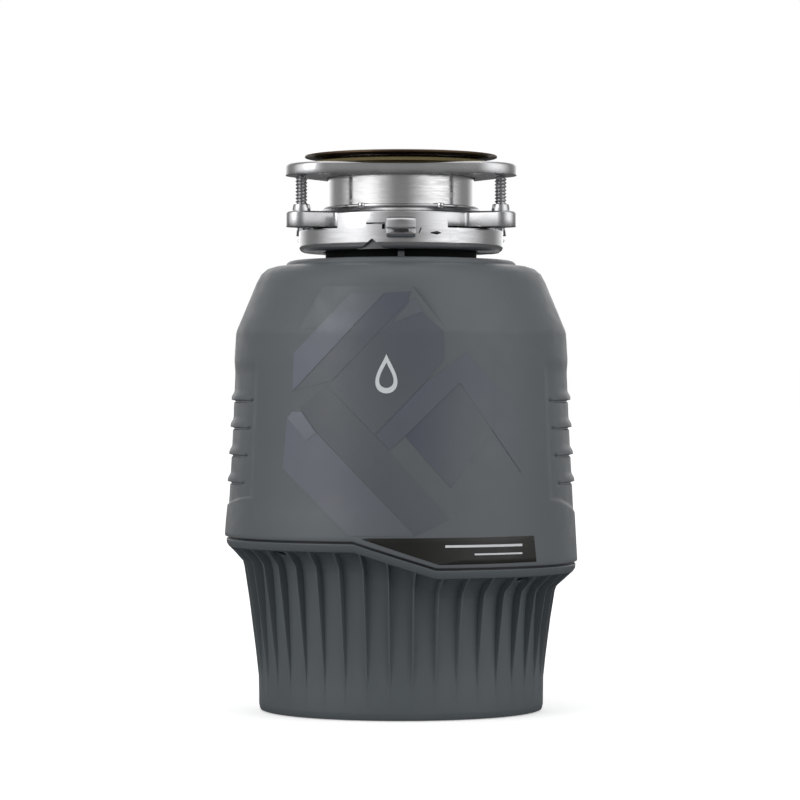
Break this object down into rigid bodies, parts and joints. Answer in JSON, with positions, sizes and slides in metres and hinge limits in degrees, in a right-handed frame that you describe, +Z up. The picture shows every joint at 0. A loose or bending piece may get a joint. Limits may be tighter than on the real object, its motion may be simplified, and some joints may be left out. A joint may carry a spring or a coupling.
{
  "type": "kitchen garbage disposal",
  "caption": "Kitchen sink food waste disposer with a ribbed lower cover, a stepped seam, a grinding chamber and motor inside, and a quick-lock sink mount.",
  "frame": {"origin": "centre of the base on the surface it stands on", "axes": "+Z up along the motor shaft towards the sink flange, -Y towards the front with the badge strip, +Y towards the discharge outlet"},
  "size_m": [0.2008, 0.2008, 0.3153],
  "materials": {
    "shell_grey": "satin moulded plastic, mid grey",
    "cover_grey": "satin moulded plastic, dark blue grey",
    "badge_black": "satin black strip",
    "rubber_black": "matt black rubber",
    "satin_steel": "satin zinc-plated steel",
    "cast_metal": "fine-grained die casting",
    "stainless": "polished stainless steel with a warm tone",
    "dark_screw": "blackened steel",
    "copper_wire": "varnished winding wire",
    "lamination": "stacked electrical steel sheet",
    "foam": "light sound-absorbing foam",
    "fibre": "pressed brown fibre sheet",
    "moulded_black": "black moulded plastic",
    "reset_red": "red moulded plastic"
  },
  "bodies": {
    "housing": {"upper_shell": "shell_grey", "lower_cover": "cover_grey", "badge_strip": "badge_black", "cover_screw_1": "dark_screw", "cover_screw_2": "dark_screw", "cover_screw_3": "dark_screw", "cover_screw_4": "dark_screw", "hopper": "stainless", "inlet_tube": "stainless", "drain_housing": "cast_metal", "shredder_ring": "stainless", "clamp_band": "satin_steel", "insulation_jacket": "foam", "neck_isolator": "rubber_black", "dishwasher_plug": "moulded_black", "discharge_gasket": "rubber_black", "discharge_flange": "cast_metal", "discharge_bolt_1": "satin_steel", "discharge_bolt_2": "satin_steel", "motor_sleeve": "satin_steel", "stator_core": "lamination", "winding_lower": "copper_wire", "winding_upper": "copper_wire", "lower_end_bell": "cast_metal", "bearing_lower": "satin_steel", "bearing_upper": "satin_steel", "shaft_seal": "rubber_black", "through_bolt_1": "satin_steel", "through_bolt_2": "satin_steel", "through_bolt_3": "satin_steel", "through_bolt_4": "satin_steel", "start_capacitor": "moulded_black", "start_relay": "moulded_black", "overload_protector": "moulded_black", "terminal_block": "moulded_black", "power_gland": "moulded_black", "mounting_gasket": "rubber_black"},
    "rotor": {"shaft": "satin_steel", "rotor_core": "lamination", "wrench_socket": "satin_steel", "turntable": "stainless", "turntable_nut": "satin_steel", "lug_rivet_1": "satin_steel", "lug_rivet_2": "satin_steel"},
    "lug_left": {"grinding_lug_1": "stainless"},
    "lug_right": {"grinding_lug_2": "stainless"},
    "reset": {"reset_button": "reset_red"},
    "sink_mount": {"sink_flange": "stainless", "fibre_gasket": "fibre", "backup_plate": "cast_metal", "snap_ring": "satin_steel", "mounting_ring": "cast_metal"},
    "screw_left": {"mounting_screw_1": "satin_steel"},
    "screw_right": {"mounting_screw_2": "satin_steel"},
    "screw_back": {"mounting_screw_3": "satin_steel"},
    "lock": {"lock_ring": "satin_steel", "wrench_sleeve_1": "satin_steel", "wrench_sleeve_2": "satin_steel", "wrench_sleeve_3": "satin_steel"},
    "baffle": {"splash_baffle": "rubber_black"}
  },
  "joints": [
    {"name": "shaft_spin", "type": "hinge", "parent": "housing", "child": "rotor", "pos_m": [0, 0, 0.1], "axis": [0, 0, 1], "continuous": true},
    {"name": "lug_left_swivel", "type": "hinge", "parent": "rotor", "child": "lug_left", "pos_m": [-0.042, 0, 0.165], "axis": [0, 0, 1], "continuous": true},
    {"name": "lug_right_swivel", "type": "hinge", "parent": "rotor", "child": "lug_right", "pos_m": [0.042, 0, 0.165], "axis": [0, 0, 1], "continuous": true},
    {"name": "reset_press", "type": "slide", "parent": "housing", "child": "reset", "axis": [0, 0, 1], "range_m": [0, 0.003], "stiffness_N_per_m": 400, "springref_m": -0.001},
    {"name": "mount_swivel", "type": "hinge", "parent": "housing", "child": "sink_mount", "pos_m": [0, 0, 0.27], "axis": [0, 0, 1], "continuous": true},
    {"name": "lock_turn", "type": "hinge", "parent": "sink_mount", "child": "lock", "pos_m": [0, 0, 0.265], "axis": [0, 0, 1], "range_deg": [0, 15]},
    {"name": "baffle_lift", "type": "slide", "parent": "sink_mount", "child": "baffle", "axis": [0, 0, 1], "range_m": [0, 0.06]},
    {"name": "screw_left_travel", "type": "slide", "parent": "sink_mount", "child": "screw_left", "axis": [0, 0, -1], "range_m": [0, 0.012]},
    {"name": "screw_right_travel", "type": "slide", "parent": "sink_mount", "child": "screw_right", "axis": [0, 0, -1], "range_m": [0, 0.012]},
    {"name": "screw_back_travel", "type": "slide", "parent": "sink_mount", "child": "screw_back", "axis": [0, 0, -1], "range_m": [0, 0.012]}
  ]
}
